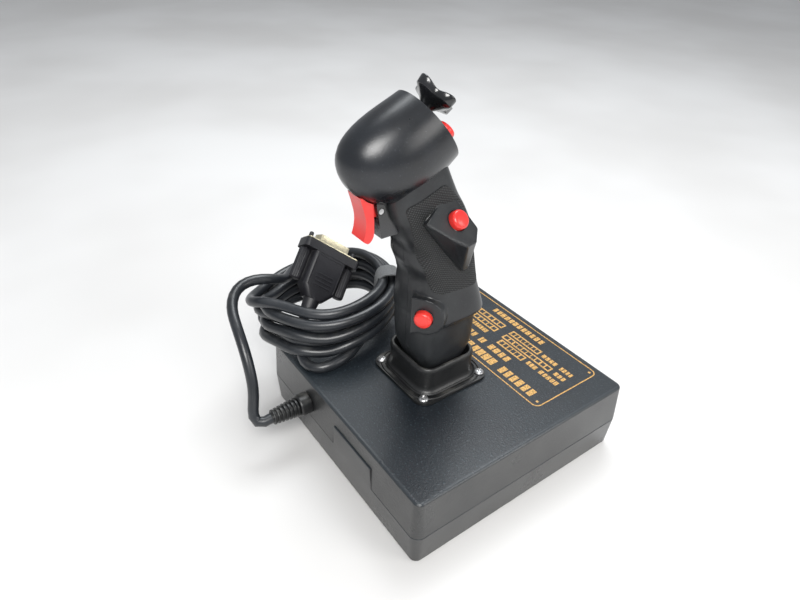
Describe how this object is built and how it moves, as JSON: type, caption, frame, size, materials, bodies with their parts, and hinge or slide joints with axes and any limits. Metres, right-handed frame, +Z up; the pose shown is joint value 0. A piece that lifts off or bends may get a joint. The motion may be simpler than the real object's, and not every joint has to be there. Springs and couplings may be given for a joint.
{
  "type": "flight joystick",
  "caption": "Desktop flight joystick: square base, rubber boot, pistol grip with trigger, hat and push buttons, coiled lead with a D connector.",
  "frame": {"origin": "centre of the square base, on the plane that its four feet stand on", "axes": "+Z up, +Y away from the pilot (the trigger and cable side), +X to the pilot's right"},
  "size_m": [0.199, 0.2032, 0.2359],
  "materials": {
    "base_plastic": "fine sparkling pebble grain on the top, satin sides",
    "grip_plastic": "satin, slightly worn",
    "head_plastic": "semi-gloss with a fine orange peel",
    "panel_plastic": "fine raised checkering",
    "gloss_plastic": "polished",
    "red_plastic": "semi-gloss",
    "boot_rubber": "matt",
    "cord_jacket": "satin",
    "hood_plastic": "fine spark texture",
    "nylon": "natural",
    "board": "solder mask",
    "strap": "woven hook-and-loop",
    "steel": "zinc plated",
    "shell_steel": "yellow-passivated"
  },
  "bodies": {
    "root": {"base_bottom_shell": "base_plastic", "base_top_shell": "base_plastic", "boot_flange": "boot_rubber", "boot_lower_wall": "boot_rubber", "boot_screw_1": "steel", "boot_screw_2": "steel", "boot_screw_3": "steel", "boot_screw_4": "steel", "cable_strap": "strap", "case_screw_1": "steel", "case_screw_2": "steel", "case_screw_3": "steel", "case_screw_4": "steel", "circuit_board": "board", "connector_hood": "hood_plastic", "connector_shell": "shell_steel", "cord_coil": "cord_jacket", "cord_lead": "cord_jacket", "cord_tail": "cord_jacket", "foot_1": "boot_rubber", "foot_2": "boot_rubber", "foot_3": "boot_rubber", "foot_4": "boot_rubber", "gimbal_frame": "nylon", "pin_insert": "nylon", "pitch_sensor": "steel", "pitch_spring": "steel", "roll_spring": "steel", "strain_relief": "boot_rubber"},
    "gimbal": {"gimbal_yoke": "nylon", "pitch_pin_left": "steel", "pitch_pin_right": "steel", "roll_pin_rear": "steel", "roll_pin_front": "steel", "roll_sensor": "steel"},
    "stick": {"stick_shaft": "steel", "shaft_nut": "steel", "grip_left_shell": "grip_plastic", "grip_right_shell": "grip_plastic", "thumb_boss": "grip_plastic", "pinky_pod": "grip_plastic", "left_side_panel": "panel_plastic", "right_side_panel": "panel_plastic", "head_shell": "head_plastic", "head_face": "gloss_plastic", "hat_collar": "gloss_plastic", "trigger_housing": "gloss_plastic", "trigger_pin": "steel", "thumb_switch": "gloss_plastic", "pinky_switch": "steel", "top_switch": "gloss_plastic", "boot_upper_wall": "boot_rubber"},
    "trigger": {"trigger": "red_plastic"},
    "hat_cross": {"hat_cross": "nylon"},
    "hat": {"hat_cap": "gloss_plastic"},
    "top_button": {"top_button": "red_plastic"},
    "thumb_button": {"thumb_button": "red_plastic"},
    "pinky_button": {"pinky_button": "red_plastic"},
    "jack_screw_1": {"jack_screw_1": "hood_plastic"},
    "jack_screw_2": {"jack_screw_2": "hood_plastic"}
  },
  "joints": [
    {"name": "stick_pitch", "type": "hinge", "parent": "root", "child": "gimbal", "pos_m": [0, 0.0107, 0.0315], "axis": [1, 0, 0], "range_deg": [-15, 15], "stiffness_Nm_per_rad": 2.2, "deforming": ["boot_lower_wall", "pitch_spring"]},
    {"name": "stick_roll", "type": "hinge", "parent": "gimbal", "child": "stick", "pos_m": [0, 0.0107, 0.0315], "axis": [0, 1, 0], "range_deg": [-15, 15], "stiffness_Nm_per_rad": 2.2, "deforming": ["boot_upper_wall", "roll_spring"]},
    {"name": "trigger_pull", "type": "hinge", "parent": "stick", "child": "trigger", "pos_m": [0, 0.0546, 0.175], "axis": [-1, 0, 0], "range_deg": [0, 7], "stiffness_Nm_per_rad": 0.25},
    {"name": "hat_tilt", "type": "hinge", "parent": "stick", "child": "hat_cross", "pos_m": [0.0005, 0.03239, 0.21369], "axis": [1, 0, 0], "range_deg": [-8, 8], "stiffness_Nm_per_rad": 0.15},
    {"name": "hat_rock", "type": "hinge", "parent": "hat_cross", "child": "hat", "pos_m": [0.0005, 0.03239, 0.21369], "axis": [0, 0.682, 0.7314], "range_deg": [-8, 8], "stiffness_Nm_per_rad": 0.15},
    {"name": "top_button_press", "type": "slide", "parent": "stick", "child": "top_button", "axis": [0, 0.7934, -0.6088], "range_m": [0, 0.002], "stiffness_N_per_m": 600},
    {"name": "thumb_button_press", "type": "slide", "parent": "stick", "child": "thumb_button", "axis": [0.7519, 0.1003, -0.6516], "range_m": [0, 0.002], "stiffness_N_per_m": 600},
    {"name": "pinky_button_press", "type": "slide", "parent": "stick", "child": "pinky_button", "axis": [0.6, -0.8, 0], "range_m": [0, 0.002], "stiffness_N_per_m": 600},
    {"name": "jack_screw_1_turn", "type": "hinge", "parent": "root", "child": "jack_screw_1", "pos_m": [0.07322, 0.03068, 0.08202], "axis": [0.4212, -0.6673, 0.6143], "continuous": true},
    {"name": "jack_screw_2_turn", "type": "hinge", "parent": "root", "child": "jack_screw_2", "pos_m": [0.08363, 0.05543, 0.10175], "axis": [0.4212, -0.6673, 0.6143], "continuous": true}
  ]
}
